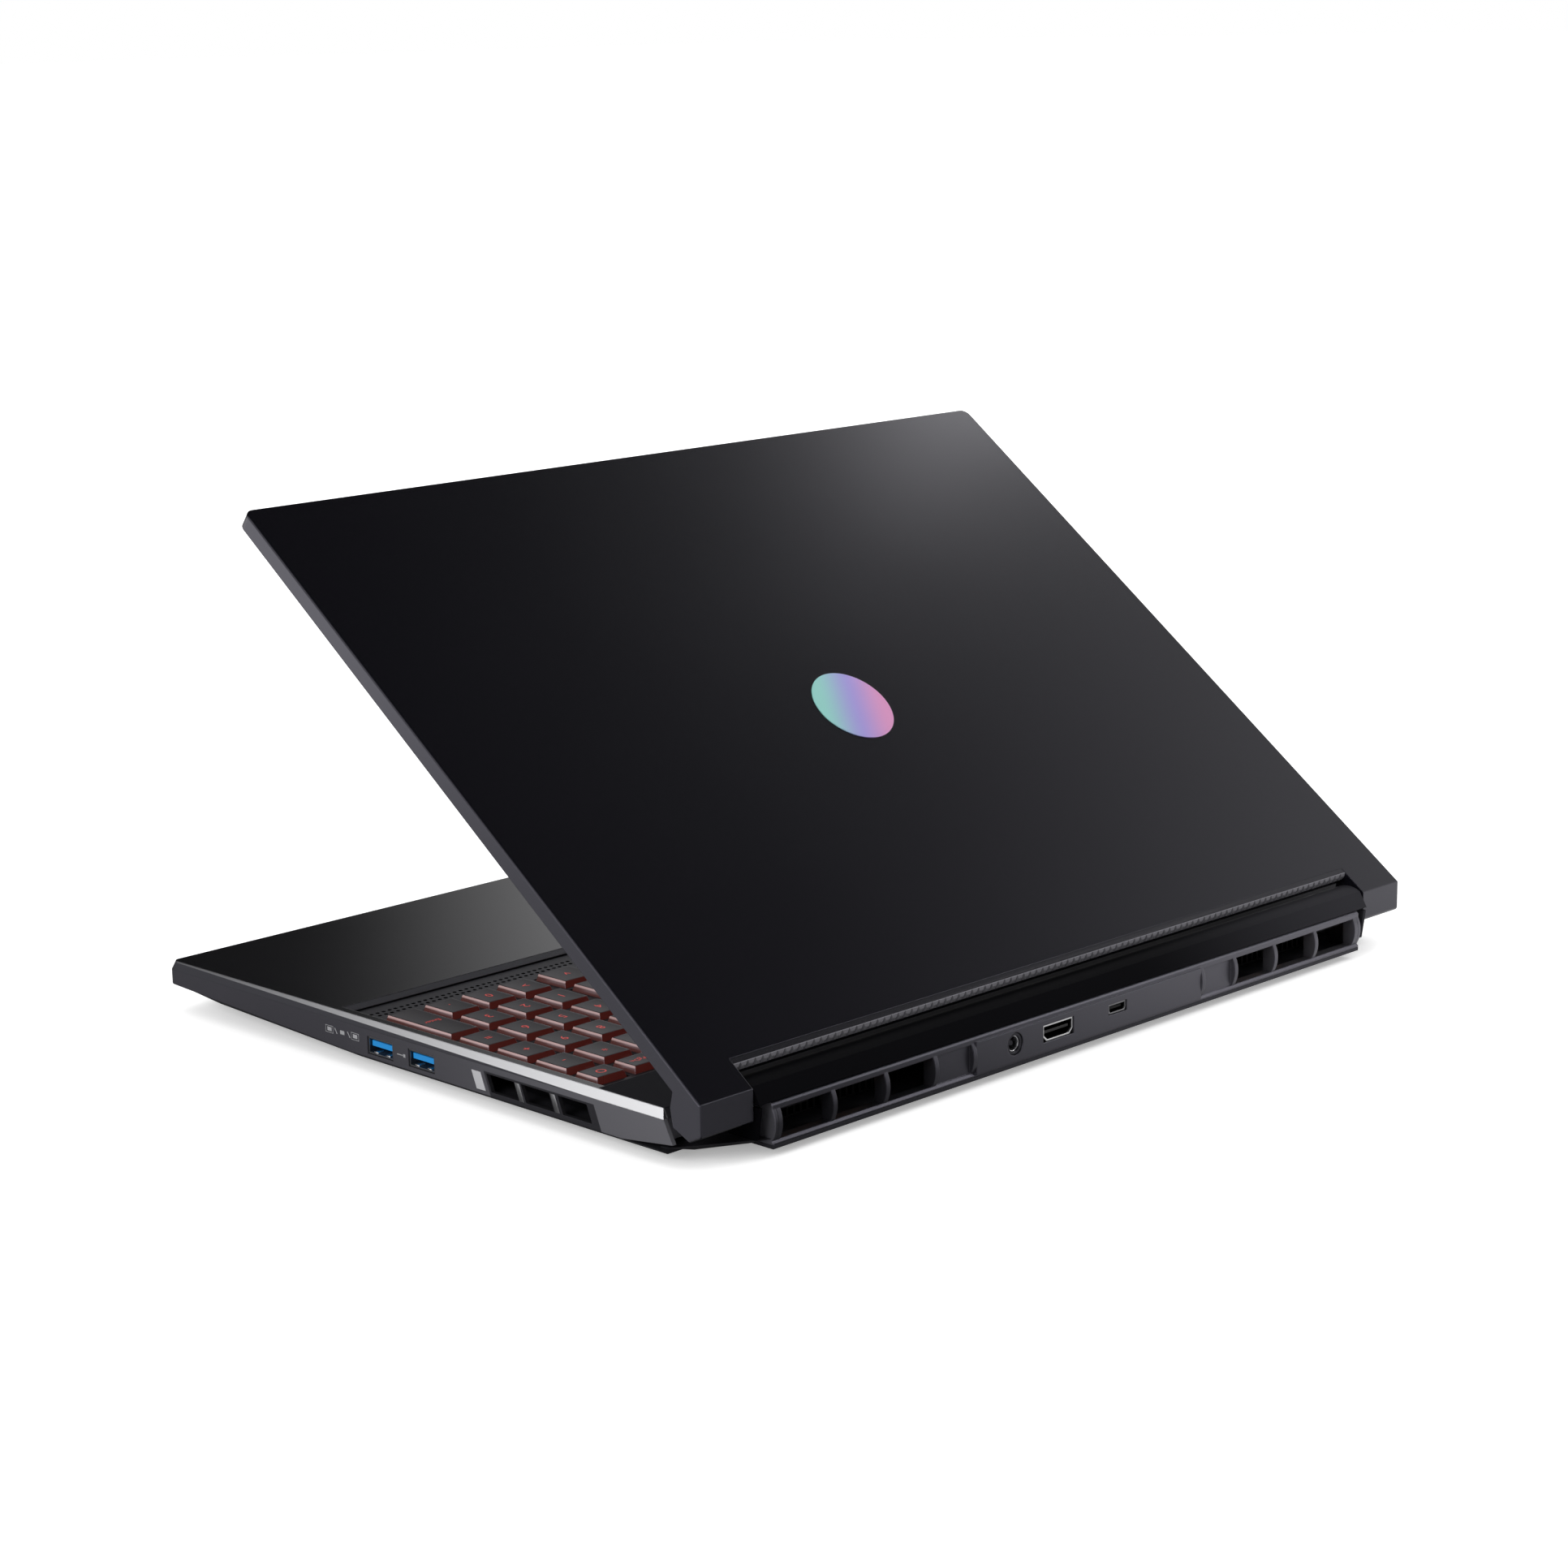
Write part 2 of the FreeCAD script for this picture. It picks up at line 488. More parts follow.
def make_bottom_screws():
    screws = [rod(f"Screw{k}", "z", "screw_head", "screw_low", "underside + skin", x=x, y=y)
              for k, (x, y) in enumerate(SCREW_PLACES)]
    node("bottom_screws", group("BottomScrews", *screws))


def foot_bar(name, x, y, long):
    bar = prism(name, "XY_Plane", [rectangle(f"{x} - {long} / 2", f"{x} + {long} / 2", f"{y} - foot_deep / 2",
                                             f"{y} + foot_deep / 2")], "0", "underside")
    ease_edges(bar, "Fillet", "foot_deep / 2 - sliver", upright)
    return bar


def make_rubber_feet():
    front = foot_bar("FrontFoot", "foot_x", "foot_front_y", "foot_long")
    rear = foot_bar("RearFoot", "0", "foot_rear_y", "foot_rear_long")
    node("rubber_feet", group("RubberFeet", front, mirror("FrontFootLeft", front), rear))


# Rear vent housing: bowed ribs between an upper lip and a lower ledge, and the socket panel

def make_rear_vent_housing():
    span = ("-block_half", "block_half")
    upper = prism("UpperLip", "YZ_Plane", [[("lip_face - lip_deep", "block_top"),
                                            ("lip_face - lip_chamfer", "block_top"),
                                            ("lip_face", "block_top - lip_chamfer"),
                                            ("lip_face", "lip_low"), ("lip_face - lip_deep", "lip_low")]],
                  *span)
    lower = prism("LowerLedge", "YZ_Plane", [[("block_front", "block_low"), ("ledge_face", "block_low"),
                                              ("ledge_face", "ledge_top - ledge_chamfer"),
                                              ("ledge_face - ledge_chamfer", "ledge_top"),
                                              ("block_front", "ledge_top")]], *span)
    bow = common("BowedBar", box("BowBlock", span, ("end_plate_front", "depth / 2 + past"),
                                 ("block_low", "block_top - seat")),
                 rod("BowRound", "x", "bow_radius", *span, y="bow_y", z="bow_z"))
    slabs = []
    for rib in ("rib_a", "rib_b", "rib_c", "rib_d", "rib_e"):
        slabs.append(box(f"Slab{rib}", (f"{rib} - rib_thick / 2", f"{rib} + rib_thick / 2"),
                         ("block_front", "depth / 2 + past"), ("block_low", "block_top")))
    slabs.append(box("SlabEnd", ("block_half - wall", "block_half"), ("end_plate_front", "depth / 2 + past"),
                     ("block_low", "block_top")))
    ribs = common("Ribs", bow, group("RibSlabs", *slabs,
                                     *[mirror(f"{slab.Name}Left", slab) for slab in slabs]))
    blank = box("BlankBay", ("rib_e", "rib_d"), ("blank_face - blank_thick", "blank_face"),
                ("block_low + seat", "lip_low + seat"))
    panel = box("SocketPanel", ("-io_half", "io_half"), ("io_face - io_thick", "io_face"),
                ("block_low + seat", "lip_low + seat"))
    body = fuse("BlockBody", upper, lower, ribs, blank, mirror("BlankBayLeft", blank), panel)
    through = ("io_face - 4 * io_thick", "io_face + io_thick")
    holes = [rod("DcHole", "y", "dc_radius + socket_room", *through, x="dc_x", z="dc_z"),
             box("HdmiHole", ("hdmi_x - hdmi_wide / 2 - socket_room",
                              "hdmi_x + hdmi_wide / 2 + socket_room"), through,
                 ("hdmi_z - hdmi_tall / 2 - socket_room", "hdmi_z + hdmi_tall / 2 + socket_room")),
             box("UsbCHole", ("usb_c_x - usb_c_wide / 2 - socket_room",
                              "usb_c_x + usb_c_wide / 2 + socket_room"), through,
                 ("usb_c_z - usb_c_tall / 2 - socket_room", "usb_c_z + usb_c_tall / 2 + socket_room")),
             rod("PinWay", "x", "pin_hole", "-block_half - past", "-block_half + 2 * wall", y="hinge_y",
                 z="hinge_z"), rod("PinWayRight", "x", "pin_hole", "block_half - 2 * wall",
                                   "block_half + past", y="hinge_y", z="hinge_z")]
    node("rear_vent_housing", cut("RearVentHousing", body, group("BlockHoles", *holes)))


# Hinge cover: a rounded bar in the lid's notch, centred on the hinge line

def cover_solid(name, radius, inset, half):
    """The round bar, cut by the rear slope and by its flat lower side."""
    outline = prism(f"{name}Region", "YZ_Plane", [[("hinge_y - cover_radius - past", "cover_low"),
                                                   ("hinge_y", "cover_low"), ("hinge_y", "slope_low_z"),
                                                   ("slope_low_y - " + inset, "slope_low_z"),
                                                   ("slope_top_y - " + inset, "slope_top_z"),
                                                   ("hinge_y - cover_radius - past", "slope_top_z")]],
                    f"-({half})", half)
    return common(name, rod(f"{name}Round", "x", radius, f"-({half})", half, y="hinge_y", z="hinge_z"),
                  outline)


def make_hinge_cover():
    outside = cover_solid("CoverOutside", "cover_radius", "0", "cover_half")
    inside = cover_solid("CoverInside", "cover_radius - cover_skin", "1.2 * cover_skin",
                         "cover_half - cover_skin")
    end_wall = prism("CoverEnd", "YZ_Plane", [[("end_wall_front", "end_wall_low"),
                                               ("end_wall_rear", "end_wall_low"),
                                               ("slope_low_y - end_wall_in", "cover_low"),
                                               ("slope_low_y - end_wall_in", "cover_low + past"),
                                               ("end_wall_front", "cover_low + past")]],
                     "cover_half - cover_skin", "cover_half")
    shell = fuse("CoverShell", cut("CoverSkin", outside, inside), end_wall, mirror("CoverEndLeft", end_wall))
    way = rod("CoverPinWay", "x", "pin_hole", "-cover_half - past", "cover_half + past", y="hinge_y",
              z="hinge_z")
    node("hinge_cover", cut("HingeCover", shell, way))


# Hinges: a sleeve on a bracket in the base, and a pin on an arm in the lid

def make_hinges():
    barrel = rod("Barrel", "x", "barrel_radius", "barrel_in", "barrel_out", y="hinge_y", z="hinge_z")
    leg = box("BracketLeg", ("barrel_in", "barrel_out"), ("leg_front", "hinge_y"), ("leg_low", "leg_top"))
    bore = rod("BarrelBore", "x", "pin_radius + pin_gap", "barrel_in - past", "barrel_out + past",
               y="hinge_y", z="hinge_z")
    bracket = cut("HingeBracket", fuse("BracketBlank", barrel, leg), bore)
    node("hinge_bracket_right", bracket)
    node("hinge_bracket_left", mirror("HingeBracketLeft", bracket))
    arm = arm_solid("HingeArm", "0")
    lid_node("hinge_arm_right", arm)
    lid_node("hinge_arm_left", mirror("HingeArmLeft", arm_solid("HingeArmTwin", "0")))


def arm_solid(name, room):
    """Leaf, web, knuckle and pin of the right hinge, or with room the space they need in the lid."""
    along = (f"knuckle_in - {room}", f"knuckle_out + {room}")
    leaf = box(f"{name}Leaf", along, (f"leaf_front - {room}", f"web_rear + {room}"),
               (f"leaf_low - {room}", f"leaf_low + leaf_thick + {room}"))
    web = box(f"{name}Web", along, (f"web_front - {room}", f"web_rear + {room}"),
              ("hinge_z", f"leaf_low + leaf_thick + {room}"))
    knuckle = rod(f"{name}Knuckle", "x", f"knuckle_radius + {room}", *along, y="hinge_y", z="hinge_z")
    pin = rod(f"{name}Pin", "x", f"pin_radius + {room}", "pin_in", "knuckle_in + past", y="hinge_y",
              z="hinge_z")
    return fuse(name, leaf, web, knuckle, pin)


# Lid: the moulded back with two feet, and the pieces that fill it

def make_lid_back_cover():
    side = "width / 2"
    body = doc.addObject("PartDesign::Body", "LidShell")
    pad(body, "LidPlate", "XY_Plane", [rectangle(f"-{side}", side, "lid_front", "lid_plate_rear")],
        "lid_inner", "lid_outer")
    foot_outline = [("lid_rear", "lid_outer"), ("foot_back_y", "foot_back_z"), ("foot_heel_y", "foot_heel_z"),
                    ("foot_toe_y", "foot_toe_z"), ("foot_shin_y", "foot_shin_z"), ("foot_top_y", "lid_inner"),
                    ("foot_root", "lid_inner"), ("foot_root", "lid_outer")]
    foot = pad(body, "LidFoot", "YZ_Plane", [foot_outline], "notch_half", side)
    other = body.newObject("PartDesign::Mirrored", "LidFootLeft")
    other.Originals = [foot]
    other.MirrorPlane = (origin_plane(body, "YZ_Plane"), [""])
    body.Tip = other
    pocket(body, "LidHollow", [rectangle(f"-{side} + lid_rim", f"{side} - lid_rim", "lid_front + lid_rim",
                                         "lid_plate_rear - lid_rim")], "lid_inner - past",
           "lid_outer - lid_skin")
    front = number("lid_front + sliver")
    ease_edges(body, "Fillet", "corner_round", lambda e: upright(e) and e.Vertexes[0].Y < front)
    hair = number("hair")
    half_foot = number("width / 2 - notch_half") / 2
    knees = [number("foot_heel_z"), number("foot_toe_z"), number("foot_back_z")]

    def at_knee(edge):
        start, end = edge.Vertexes[0], edge.Vertexes[-1]
        return abs(start.X - end.X) > half_foot and any(abs(start.Z - knee) < hair for knee in knees)

    ease_edges(body, "Fillet", "foot_round", at_knee)
    nose = number("lid_front + corner_round + sliver")
    rim = number("width / 2 - corner_round - sliver")
    top = number("lid_outer") - hair
    heel = number("lid_rear") - hair

    def at_rim(edge):
        spots = edge.Vertexes
        outer = all(abs(spot.X) > rim for spot in spots) or all(spot.Y < nose for spot in spots)
        return outer and (all(spot.Z > top for spot in spots) or all(spot.Y > heel for spot in spots))

    ease_edges(body, "Chamfer", "lid_edge", at_rim)
    room = arm_solid("ArmRoom", "arm_gap")
    lid_node("lid_back_cover", cut("LidBackCover", body, both_sides("ArmRooms", room)))


def make_lid_lower_trim():
    low, high = "lid_inner + 2 * trim_gap", "lid_outer - trim_gap"
    blank = prism("TrimBlank", "YZ_Plane", [[
        ("lid_plate_rear", low), ("notch_y - trim_edge", low), ("notch_y", "lid_inner + trim_edge"),
        ("notch_y", "lid_outer - trim_edge"), ("notch_y - trim_edge / 2", high), ("lid_plate_rear", high)]],
        "-notch_half + trim_gap", "notch_half - trim_gap")
    pitch = "2 * (notch_half - ridge_margin) / ridge_count"
    grooves = []
    for k in range(int(number("ridge_count")) + 1):
        groove = box(f"Groove{k}", ("0", "2 * ridge_deep"), ("0", "2 * ridge_deep"),
                     ("ridge_low", "lid_outer + past"))
        groove.Placement.Rotation = FreeCAD.Rotation(FreeCAD.Vector(0, 0, 1), 45)
        grooves.append(place(groove, f"-notch_half + ridge_margin + {k} * {pitch}", "notch_y - ridge_deep",
                             "ridge_low"))
    lid_node("lid_lower_trim", cut("LidLowerTrim", blank, group("TrimGrooves", *grooves)))


def make_display():
    outer = rectangle("-width / 2 + lid_rim + bezel_gap", "width / 2 - lid_rim - bezel_gap",
                      "lid_front + lid_rim + bezel_gap", "lid_plate_rear - lid_rim - bezel_gap")
    window = rectangle("-screen_half", "screen_half", "screen_front", "screen_rear")
    lid_node("display_bezel", prism("DisplayBezel", "XY_Plane",
                                    [outer, window, ("0", "camera_y", "camera_radius + lens_room")],
                                    "lid_inner", "lid_inner + bezel_thick"))
    glass = rectangle("-panel_half", "panel_half", "panel_front", "panel_rear")
    lid_node("display_panel", prism("DisplayPanel", "XY_Plane", [glass], "panel_low", "panel_top"))
    module = box("CameraModule", ("-camera_half", "camera_half"),
                 ("camera_y - camera_deep / 2", "camera_y + camera_deep / 2 - 2 * lens_room"),
                 ("panel_low", "camera_top"))
    lens = rod("CameraLens", "z", "camera_radius", "lid_inner + lens_room", "panel_low + shell_thick",
               y="camera_y")
    lid_node("webcam_module", fuse("WebcamModule", module, lens))
    strip = box("Antenna", ("antenna_in", "antenna_out"),
                ("camera_y - camera_deep / 2", "camera_y + camera_deep / 2 - 2 * lens_room"),
                ("panel_low", "antenna_top"))
    lid_node("wifi_antennas", both_sides("WifiAntennas", strip))
    bars = []
    for name, y in (("FrontBumper", "bumper_y"), ("RearBumper", "bumper_rear_y")):
        reach = (f"{y} - bumper_deep / 2", f"{y} + bumper_deep / 2")
        bars.append(box(name, ("bumper_in", "bumper_out"), reach, ("lid_inner - bumper_thick", "lid_inner")))
    lid_node("bezel_bumpers", group("BezelBumpers", *bars, *[mirror(f"{bar.Name}Left", bar) for bar in bars]))
    disc = prism("LidBadge", "XY_Plane", [("0", "badge_y", "badge_radius")], "lid_outer",
                 "lid_outer + badge_rise")
    lid_node("lid_badge", disc)


# Keyboard: tapered keys in a lattice, over a thin plate

MAIN_ROWS = ((4, (("number_row_keys", 13, 1), ("number_row_keys", 1, 1.73))),
             (3, (("upper_row_keys", 1, 1.5), ("upper_row_keys", 12, 1), ("upper_row_keys", 1, 1.23))),
             (2, (("home_row_keys", 1, 1.75), ("home_row_keys", 11, 1), ("enter_key", 1, 1.98))),
             (1, (("lower_row_keys", 1, 2.25), ("lower_row_keys", 10, 1), ("lower_row_keys", 1, 1.48),
                  ("arrow_keys", 1, 1))), (0, (("bottom_row_keys", 1, 1.25), ("bottom_row_keys", 3, 1),
                                               ("space_bar", 1, 6.23), ("bottom_row_keys", 1, 1),
                                               ("bottom_row_keys", 1, 1.25), ("arrow_keys", 2, 1))), )
TOP_ROW_KEYS = 15


def key_places():
    """Every key as (node, x low, x high, y low, y high), with formulas for its cell."""
    for row, runs in MAIN_ROWS:
        low = f"row_y + {row} * key_pitch - key_pitch / 2"
        used = 0
        for name, count, units in runs:
            for _ in range(count):
                start = f"keys_left + {used:g} * key_pitch"
                used = round(used + units, 2)
                yield name, start, f"keys_left + {used:g} * key_pitch", low, f"{low} + key_pitch"
    for column in range(4):
        start = f"keys_right - {4 - column} * pad_pitch"
        for row in (1, 2, 3, 4):
            if (column, row) == (3, 1):
                continue
            low = f"row_y + {row} * key_pitch - key_pitch / 2"
            yield "numpad_keys", start, f"{start} + pad_pitch", low, f"{low} + key_pitch"
        low = "row_y - key_pitch / 2"
        high = f"{low} + key_pitch"
        if column == 0:
            yield "arrow_keys", start, f"{start} + pad_pitch", low, high
        elif column < 3:
            yield "numpad_keys", start, f"{start} + pad_pitch", low, high
        else:
            yield "numpad_enter_key", start, f"{start} + pad_pitch", low, f"{high} + key_pitch"
    bottom = "top_row_y - (top_row_deep + key_gap) / 2"
    top = "top_row_y + (top_row_deep + key_gap) / 2"
    last = sum(count * units for _, count, units in MAIN_ROWS[0][1])
    for k in range(TOP_ROW_KEYS):
        start = f"keys_left + {k} * {last:g} / {TOP_ROW_KEYS} * key_pitch"
        yield "function_row_keys", start, f"{start} + {last:g} / {TOP_ROW_KEYS} * key_pitch", bottom, top
    for column in range(4):
        start = f"keys_right - {4 - column} * pad_pitch"
        name = "power_button" if column == 3 else "function_row_keys"
        yield name, start, f"{start} + pad_pitch", bottom, top


def keycap(name, x_low, x_high, y_low, y_high):
    """A cap that narrows to its top, standing inside its cell."""
    cap = doc.addObject("Part::Wedge", name)
    wide = f"({x_high}) - ({x_low}) - key_gap"
    deep = f"({y_high}) - ({y_low}) - key_gap"
    bind(cap, Xmin="0", Xmax=wide, X2min="key_taper", X2max=f"{wide} - key_taper", Ymin="0",
         Ymax="key_top - key_low", Zmin="0", Zmax=deep, Z2min="key_taper", Z2max=f"{deep} - key_taper")
    cap.Placement.Rotation = FreeCAD.Rotation(FreeCAD.Vector(1, 0, 0), 90)
    return place(cap, f"{x_low} + key_gap / 2", f"{y_high} - key_gap / 2", "key_low")


def make_keyboard():
    caps = {}
    holes = []
    for k, (name, x_low, x_high, y_low, y_high) in enumerate(key_places()):
        caps.setdefault(name, []).append(keycap(f"Cap{k}", x_low, x_high, y_low, y_high))
        room = "key_gap / 2 - key_room"
        holes.append(box(f"CapHole{k}", (f"{x_low} + {room}", f"{x_high} - ({room})"),
                         (f"{y_low} + {room}", f"{y_high} - ({room})"),
                         ("frame_low - past", "frame_top + past")))
    for name, members in caps.items():
        node(name, group(f"Group{name}", *members) if len(members) > 1 else members[0])
    blank = box("FrameBlank", ("-frame_half", "frame_half"), ("frame_front", "frame_rear"),
                ("frame_low", "frame_top"))
    node("keyboard_frame", cut("KeyboardFrame", blank, group("CapHoles", *holes)))
    node("keyboard_plate", box("KeyboardPlate", ("-plate_half", "plate_half"), ("frame_front", "frame_rear"),
                               ("plate_low", "plate_top")))


def make_touchpad():
    side = "pad_wide / 2"
    sheet_glass = prism("Touchpad", "XY_Plane", [rectangle(f"pad_x - {side}", f"pad_x + {side}",
                                                           "pad_front", "pad_rear")], "pad_low", "pad_top")
    ease_edges(sheet_glass, "Fillet", "corner_round / 2", upright)
    node("touchpad", sheet_glass)
    over = "pad_bracket_over"
    outer = rectangle(f"pad_x - {side} - {over}", f"pad_x + {side} + {over}", "pad_front + bracket_lap",
                      f"pad_rear + {over}")
    inner = rectangle(f"pad_x - {side} + 3 * {over}", f"pad_x + {side} - 3 * {over}",
                      "pad_front + 3 * pad_bracket_over", f"pad_rear - 2 * {over}")
    node("touchpad_bracket", prism("TouchpadBracket", "XY_Plane", [outer, inner], "pad_bracket_low",
                                   "pad_bracket_top"))


# Sockets

def make_side_sockets():
    shells, tongues = [], []
    for k, (side, y) in enumerate(((1, "usb_a_front_y"), (1, "usb_a_rear_y"), (-1, "usb_a_left_y"))):
        outer = side_block(f"UsbShell{k}", side, y, "usb_a_wide", "usb_a_z", "usb_a_tall", "socket_inset",
                           "usb_a_deep")
        room = side_block(f"UsbRoom{k}", side, y, "usb_a_wide - 2 * shell_thick", "usb_a_z",
                          "usb_a_tall - 2 * shell_thick", "-past", "usb_a_deep - shell_thick")
        shells.append(cut(f"UsbSocket{k}", outer, room))
        tongues.append(side_block(f"UsbTongue{k}", side, y, "usb_a_tongue", "usb_a_z + tongue_lift",
                                  "usb_tongue_thick", "socket_inset + tongue_inset",
                                  "usb_a_deep - shell_thick - sliver"))
    node("usb_a_ports", group("UsbAPorts", *shells))
    node("usb_a_tongues", group("UsbATongues", *tongues))
    net = side_block("NetBlock", -1, "net_y", "net_wide", "(net_low + net_top) / 2", "net_top - net_low",
                     "socket_inset", "net_deep")
    net_room = side_block("NetRoom", -1, "net_y", "net_wide - 2 * net_wall", "(net_low + net_top) / 2",
                          "net_top - net_low - 2 * net_wall", "-past", "net_deep - net_wall")
    node("ethernet_port", cut("EthernetPort", net, net_room))
    card = side_block("CardBlock", -1, "card_y", "card_wide", "card_z", "card_tall", "socket_inset",
                      "card_deep")
    slot = side_block("CardSlot", -1, "card_y", "card_wide - 2 * card_wall", "card_z", "card_slot", "-past",
                      "card_deep - 2 * card_wall")
    node("card_reader", cut("CardReader", card, slot))
    outside = "-width / 2 + socket_inset"
    barrel = rod("JackBody", "x", "audio_radius", outside, f"{outside} + audio_deep + audio_end",
                 y="audio_y", z="audio_z")
    bore = rod("JackBore", "x", "audio_bore", "-width / 2 - past", f"{outside} + audio_deep", y="audio_y",
               z="audio_z")
    node("audio_jack", cut("AudioJack", barrel, bore))
    lights = [side_block(f"Light{k}", 1, f"light_front_y + {k} * light_step", "light_wide", "light_z",
                         "light_tall", "light_room", "light_deep") for k in range(LIGHT_COUNT)]
    node("status_lights", group("StatusLights", *lights))


def side_block(name, side, y, wide, z, tall, start, end):
    """A block that goes in from the right (1) or left (-1) wall, from start to end below its face."""
    through = (f"width / 2 - ({end})", f"width / 2 - ({start})")
    if side < 0:
        through = (f"-width / 2 + ({start})", f"-width / 2 + ({end})")
    return box(name, through, (f"{y} - ({wide}) / 2", f"{y} + ({wide}) / 2"),
               (f"{z} - ({tall}) / 2", f"{z} + ({tall}) / 2"))


def flat_socket(name, word):
    """A sheet-metal shell with a tongue, open to the rear, with its lower corners drawn in."""
    x, z = f"{word}_x", f"{word}_z"
    face, back = "io_face - socket_inset", f"io_face - {word}_deep"

    def outline(inset):
        half = f"{word}_wide / 2 - {inset}"
        rise = f"{word}_tall / 2 - {inset}"
        knee = f"{z} - ({rise}) / 3"
        low = f"({half} - {word}_draw)"
        return [(f"{x} - ({half})", f"{z} + {rise}"), (f"{x} - ({half})", knee),
                (f"{x} - {low}", f"{z} - ({rise})"), (f"{x} + {low}", f"{z} - ({rise})"),
                (f"{x} + ({half})", knee), (f"{x} + ({half})", f"{z} + {rise}")]

    shell = prism(f"{name}Shell", "XZ_Plane", [outline("0")], back, face)
    room = prism(f"{name}Room", "XZ_Plane", [outline("shell_thick")], f"{back} + shell_thick",
                 f"{face} + past")
    tongue = box(f"{name}Tongue", (f"{x} - {word}_wide / 2 + 3 * shell_thick",
                                   f"{x} + {word}_wide / 2 - 3 * shell_thick"),
                 (f"{back} + shell_thick / 2", f"{face} - tongue_inset"),
                 (f"{z} - tongue_thick / 4", f"{z} + tongue_thick / 2"))
    return fuse(name, cut(f"{name}Open", shell, room), tongue)


def make_rear_sockets():
    node("hdmi_port", flat_socket("HdmiPort", "hdmi"))
    node("usb_c_port", flat_socket("UsbCPort", "usb_c"))
    face = "io_face - socket_inset"
    body = rod("DcBody", "y", "dc_radius", "io_face - dc_deep", face, x="dc_x", z="dc_z")
    bore = rod("DcBore", "y", "dc_bore", "io_face - dc_deep + dc_end", "io_face + past", x="dc_x", z="dc_z")
    pin = rod("DcPin", "y", "dc_pin", "io_face - dc_deep + dc_end / 2", "io_face - dc_end", x="dc_x",
              z="dc_z")
    node("dc_jack", fuse("DcJack", cut("DcSleeve", body, bore), pin))


# Cooling: two fans, fin stacks, heat pipes and the spreader over the chips

def make_fan_housing():
    across = ("fan_x - fan_half", "fan_x + fan_half")
    along = ("fan_y - fan_half", "fan_y + fan_half")
    block = box("FanBlock", across, along, ("fan_low", "fan_top"))
    inner = ("fan_low + fan_plate", "fan_top - fan_plate")
    room = box("FanRoom", ("fan_x - fan_half + fan_wall", "fan_x + fan_half - fan_wall"),
               ("fan_y - fan_half + fan_wall", "fan_y + fan_half - fan_wall"), inner)
    rear = box("RearOutlet", ("fan_x - outlet_half", "fan_x + outlet_half - outlet_step"),
               ("fan_y", "fan_y + fan_half + past"), inner)
    side = box("SideOutlet", ("fan_x", "fan_x + fan_half + past"),
               ("fan_y - outlet_half", "fan_y + outlet_step"), inner)
    eye = rod("FanEye", "z", "fan_eye", "fan_low - past", "fan_top + past", x="fan_x", y="fan_y")
    shell = cut("FanShell", block, fuse("FanSpaces", room, rear, side, eye))
    floor = ("fan_low", "fan_low + fan_plate")
    seat = rod("FanSeat", "z", "fan_boss", *floor, x="fan_x", y="fan_y")
    arms = [box("FanArm", ("fan_x - fan_eye - past", "fan_x + fan_eye + past"),
                ("fan_y - fan_arm / 2", "fan_y + fan_arm / 2"), floor),
            box("FanArmAcross", ("fan_x - fan_arm / 2", "fan_x + fan_arm / 2"),
                ("fan_y - fan_eye - past", "fan_y + fan_eye + past"), floor)]
    shaft = rod("FanShaft", "z", "shaft_radius", "fan_low + fan_plate / 2",
                "fan_low + fan_plate + shaft_tall", x="fan_x", y="fan_y")
    housing = fuse("FanHousing", shell, seat, *arms, shaft)
    node("fan_housing_right", housing)
    node("fan_housing_left", mirror("FanHousingLeft", housing))


def make_fan_rotor(name, side):
    body = doc.addObject("PartDesign::Body", name)
    pad(body, f"{name}Hub", "XY_Plane", [("0", "0", "hub_radius")], "0", "rotor_tall")
    front = [("root_u", "root_v"), ("knee_u", "knee_v"), ("tip_u", "tip_v")]
    back = [(f"{u} - blade_shift", f"{v} + blade_shift") for u, v in reversed(front)]
    blade = pad(body, f"{name}Blade", "XY_Plane", [front + back], "blade_inset", "rotor_tall - blade_inset")
    ring = body.newObject("PartDesign::PolarPattern", f"{name}Blades")
    ring.Originals = [blade]
    ring.Axis = (origin_plane(body, "Z_Axis"), [""])
    ring.Angle = 360
    bind(ring, Occurrences="blade_count")
    body.Tip = ring
    pocket(body, f"{name}Bore", [("0", "0", "shaft_radius + pin_gap")], "-past", "rotor_tall - hub_roof")
    return place(body, f"{side} * fan_x", "fan_y", "rotor_low")


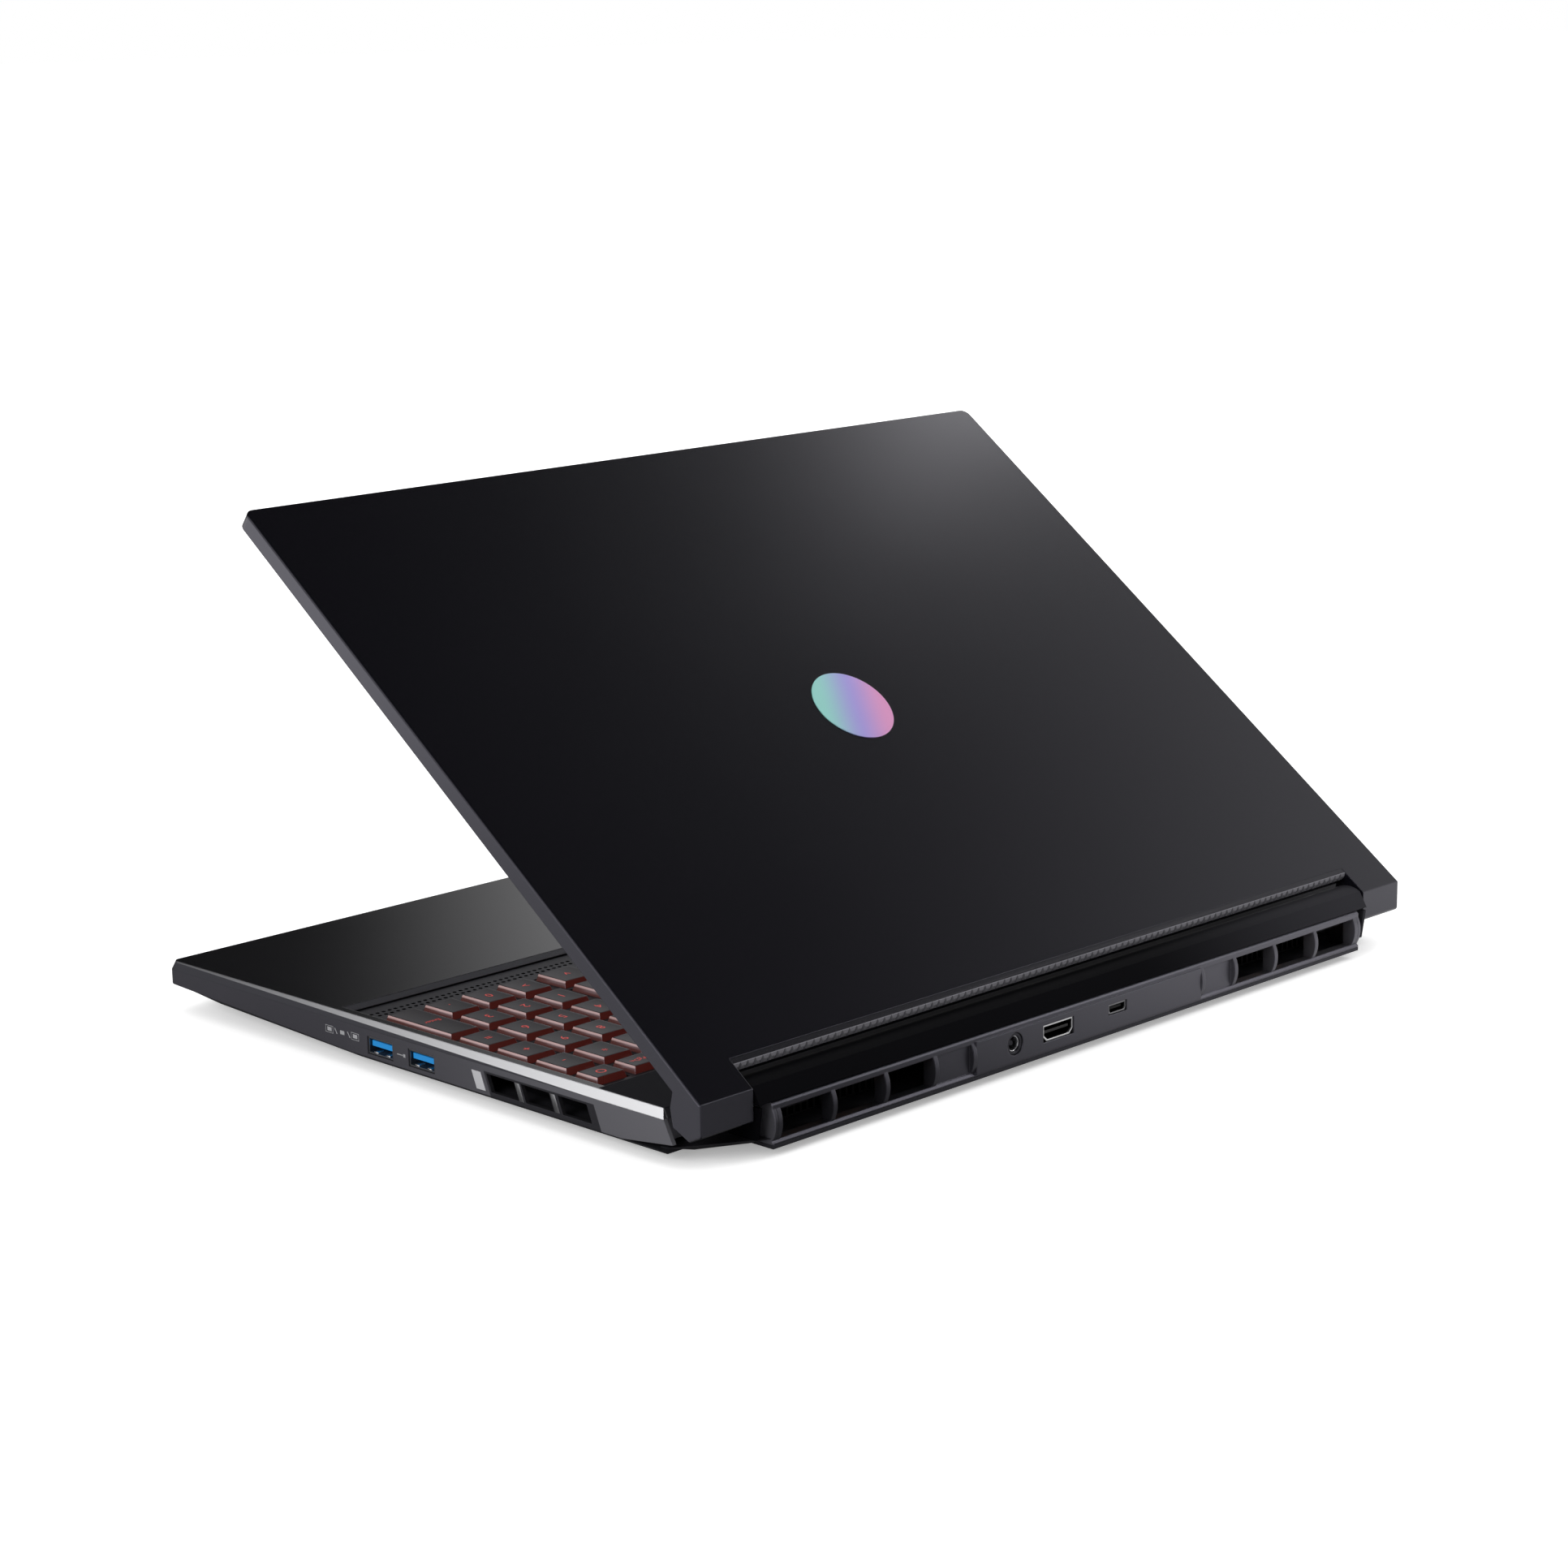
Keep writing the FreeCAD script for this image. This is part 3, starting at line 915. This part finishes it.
def make_cooling():
    make_fan_housing()
    node("fan_rotor_right", make_fan_rotor("FanRotorRight", 1))
    node("fan_rotor_left", make_fan_rotor("FanRotorLeft", -1))
    stack = box("FinStack", ("fin_in", "pipe_out"), ("fin_front", "fin_rear"), ("fin_low", "fin_top"))
    pitch = "(pipe_out - fin_in - 2 * fin_plate) / fin_count"
    slots = []
    for k in range(int(number("fin_count"))):
        start = f"fin_in + fin_plate + {k} * {pitch}"
        slots.append(box(f"FinSlot{k}", (start, f"{start} + fin_slot"),
                         ("fin_front - past", "fin_rear + past"),
                         ("fin_low + fin_plate", "fin_top - fin_plate")))
    node("fin_stacks", both_sides("FinStacks", cut("FinnedStack", stack, group("FinSlots", *slots))))
    pipe = prism("HeatPipe", "XY_Plane", [[
        ("pipe_out", "pipe_rear"), ("pipe_out", "pipe_rear + pipe_wide"),
        ("pipe_bend", "pipe_rear + pipe_wide"), ("pipe_x", "pipe_turn + pipe_wide / 3"),
        ("pipe_x", "pipe_front"), ("pipe_x + pipe_wide", "pipe_front"),
        ("pipe_x + pipe_wide", "pipe_turn"), ("pipe_bend + pipe_wide / 2", "pipe_rear")]],
        "spreader_top", "pipe_top")
    node("heat_pipes", both_sides("HeatPipes", pipe))
    node("heat_spreader", box("HeatSpreader", ("-spreader_half", "spreader_half"),
                              ("spreader_front", "spreader_rear"), ("die_top", "spreader_top")))
    substrate = box("ChipBase", ("chip_x - chip_wide / 2", "chip_x + chip_wide / 2"),
                    ("chip_y - chip_deep / 2", "chip_y + chip_deep / 2"),
                    ("board_top", "board_top + chip_thick"))
    die = box("ChipDie", ("chip_x - die_wide / 2", "chip_x + die_wide / 2"),
              ("chip_y - die_deep / 2", "chip_y + die_deep / 2"), ("board_top", "die_top"))
    node("processors", both_sides("Processors", fuse("Chip", substrate, die)))


# Boards, battery, speakers and plug-in cards

def make_boards():
    right = [("board_half", "board_front"), ("board_half", "board_rear"), ("board_tail_half", "board_rear"),
             ("board_tail_half", "board_tail")]
    outline = right + [(f"-({x})", y) for x, y in reversed(right)]
    node("motherboard", prism("Motherboard", "XY_Plane", [outline], "board_low", "board_top"))
    side_board = box("SideBoard", ("side_board_in", "side_board_out"),
                     ("side_board_front", "side_board_rear"), ("board_low", "board_top"))
    node("io_boards", both_sides("IoBoards", side_board))
    pack = box("BatteryBlock", ("-battery_half", "battery_half"), ("battery_front", "battery_rear"),
               ("battery_low", "battery_top"))
    grooves = [box(f"CellGroove{k}", (f"{k} * cell_pitch - cell_groove / 2",
                                      f"{k} * cell_pitch + cell_groove / 2"),
                   ("battery_front - past", "battery_rear - cell_groove_end"),
                   ("battery_top - cell_groove_deep", "battery_top + past")) for k in (-1, 0, 1)]
    node("battery_pack", cut("BatteryPack", pack, group("CellGrooves", *grooves)))
    speaker = prism("Speaker", "XY_Plane", [rectangle("speaker_in", "speaker_out", "speaker_front",
                                                      "speaker_rear")], "battery_low", "speaker_top")
    ease_edges(speaker, "Fillet", "speaker_round", upright)
    node("speakers", both_sides("Speakers", speaker))
    modules = [box(f"Memory{k}", ("memory_x", "memory_x + memory_wide"),
                   (f"memory_front + {k} * memory_step", f"memory_front + {k} * memory_step + memory_deep"),
                   ("board_top", "memory_top")) for k in range(2)]
    node("memory_modules", group("MemoryModules", *modules))
    drives = [box(f"Drive{k}", ("drive_x", "drive_x + drive_long"),
                  (f"drive_front + {k} * drive_step", f"drive_front + {k} * drive_step + drive_wide"),
                  ("board_top", "drive_top")) for k in range(2)]
    node("solid_state_drives", group("SolidStateDrives", *drives))
    node("wireless_card", box("WirelessCard", ("radio_x - radio_wide / 2", "radio_x + radio_wide / 2"),
                              ("radio_y", "radio_y + radio_long"), ("board_top", "radio_top")))


make_top_case()
make_side_frame()
make_vent_accents()
make_bottom_cover()
make_bottom_screws()
make_rubber_feet()
make_rear_vent_housing()
make_hinge_cover()
make_hinges()
make_lid_back_cover()
make_lid_lower_trim()
make_display()
make_keyboard()
make_touchpad()
make_side_sockets()
make_rear_sockets()
make_cooling()
make_boards()
doc.recompute()

failed = [thing.Name for thing in doc.Objects if {"Invalid", "Error"} & set(thing.State)]
failed += [thing.Label for thing in nodes if thing.Shape.isNull() or not thing.Shape.isValid()]
if failed:
    raise RuntimeError(f"not built: {failed}")

os.makedirs("parts", exist_ok=True)
for thing in nodes:
    thing.Shape.exportStep(f"parts/{thing.Label}.step")
print(len(nodes), "nodes written")
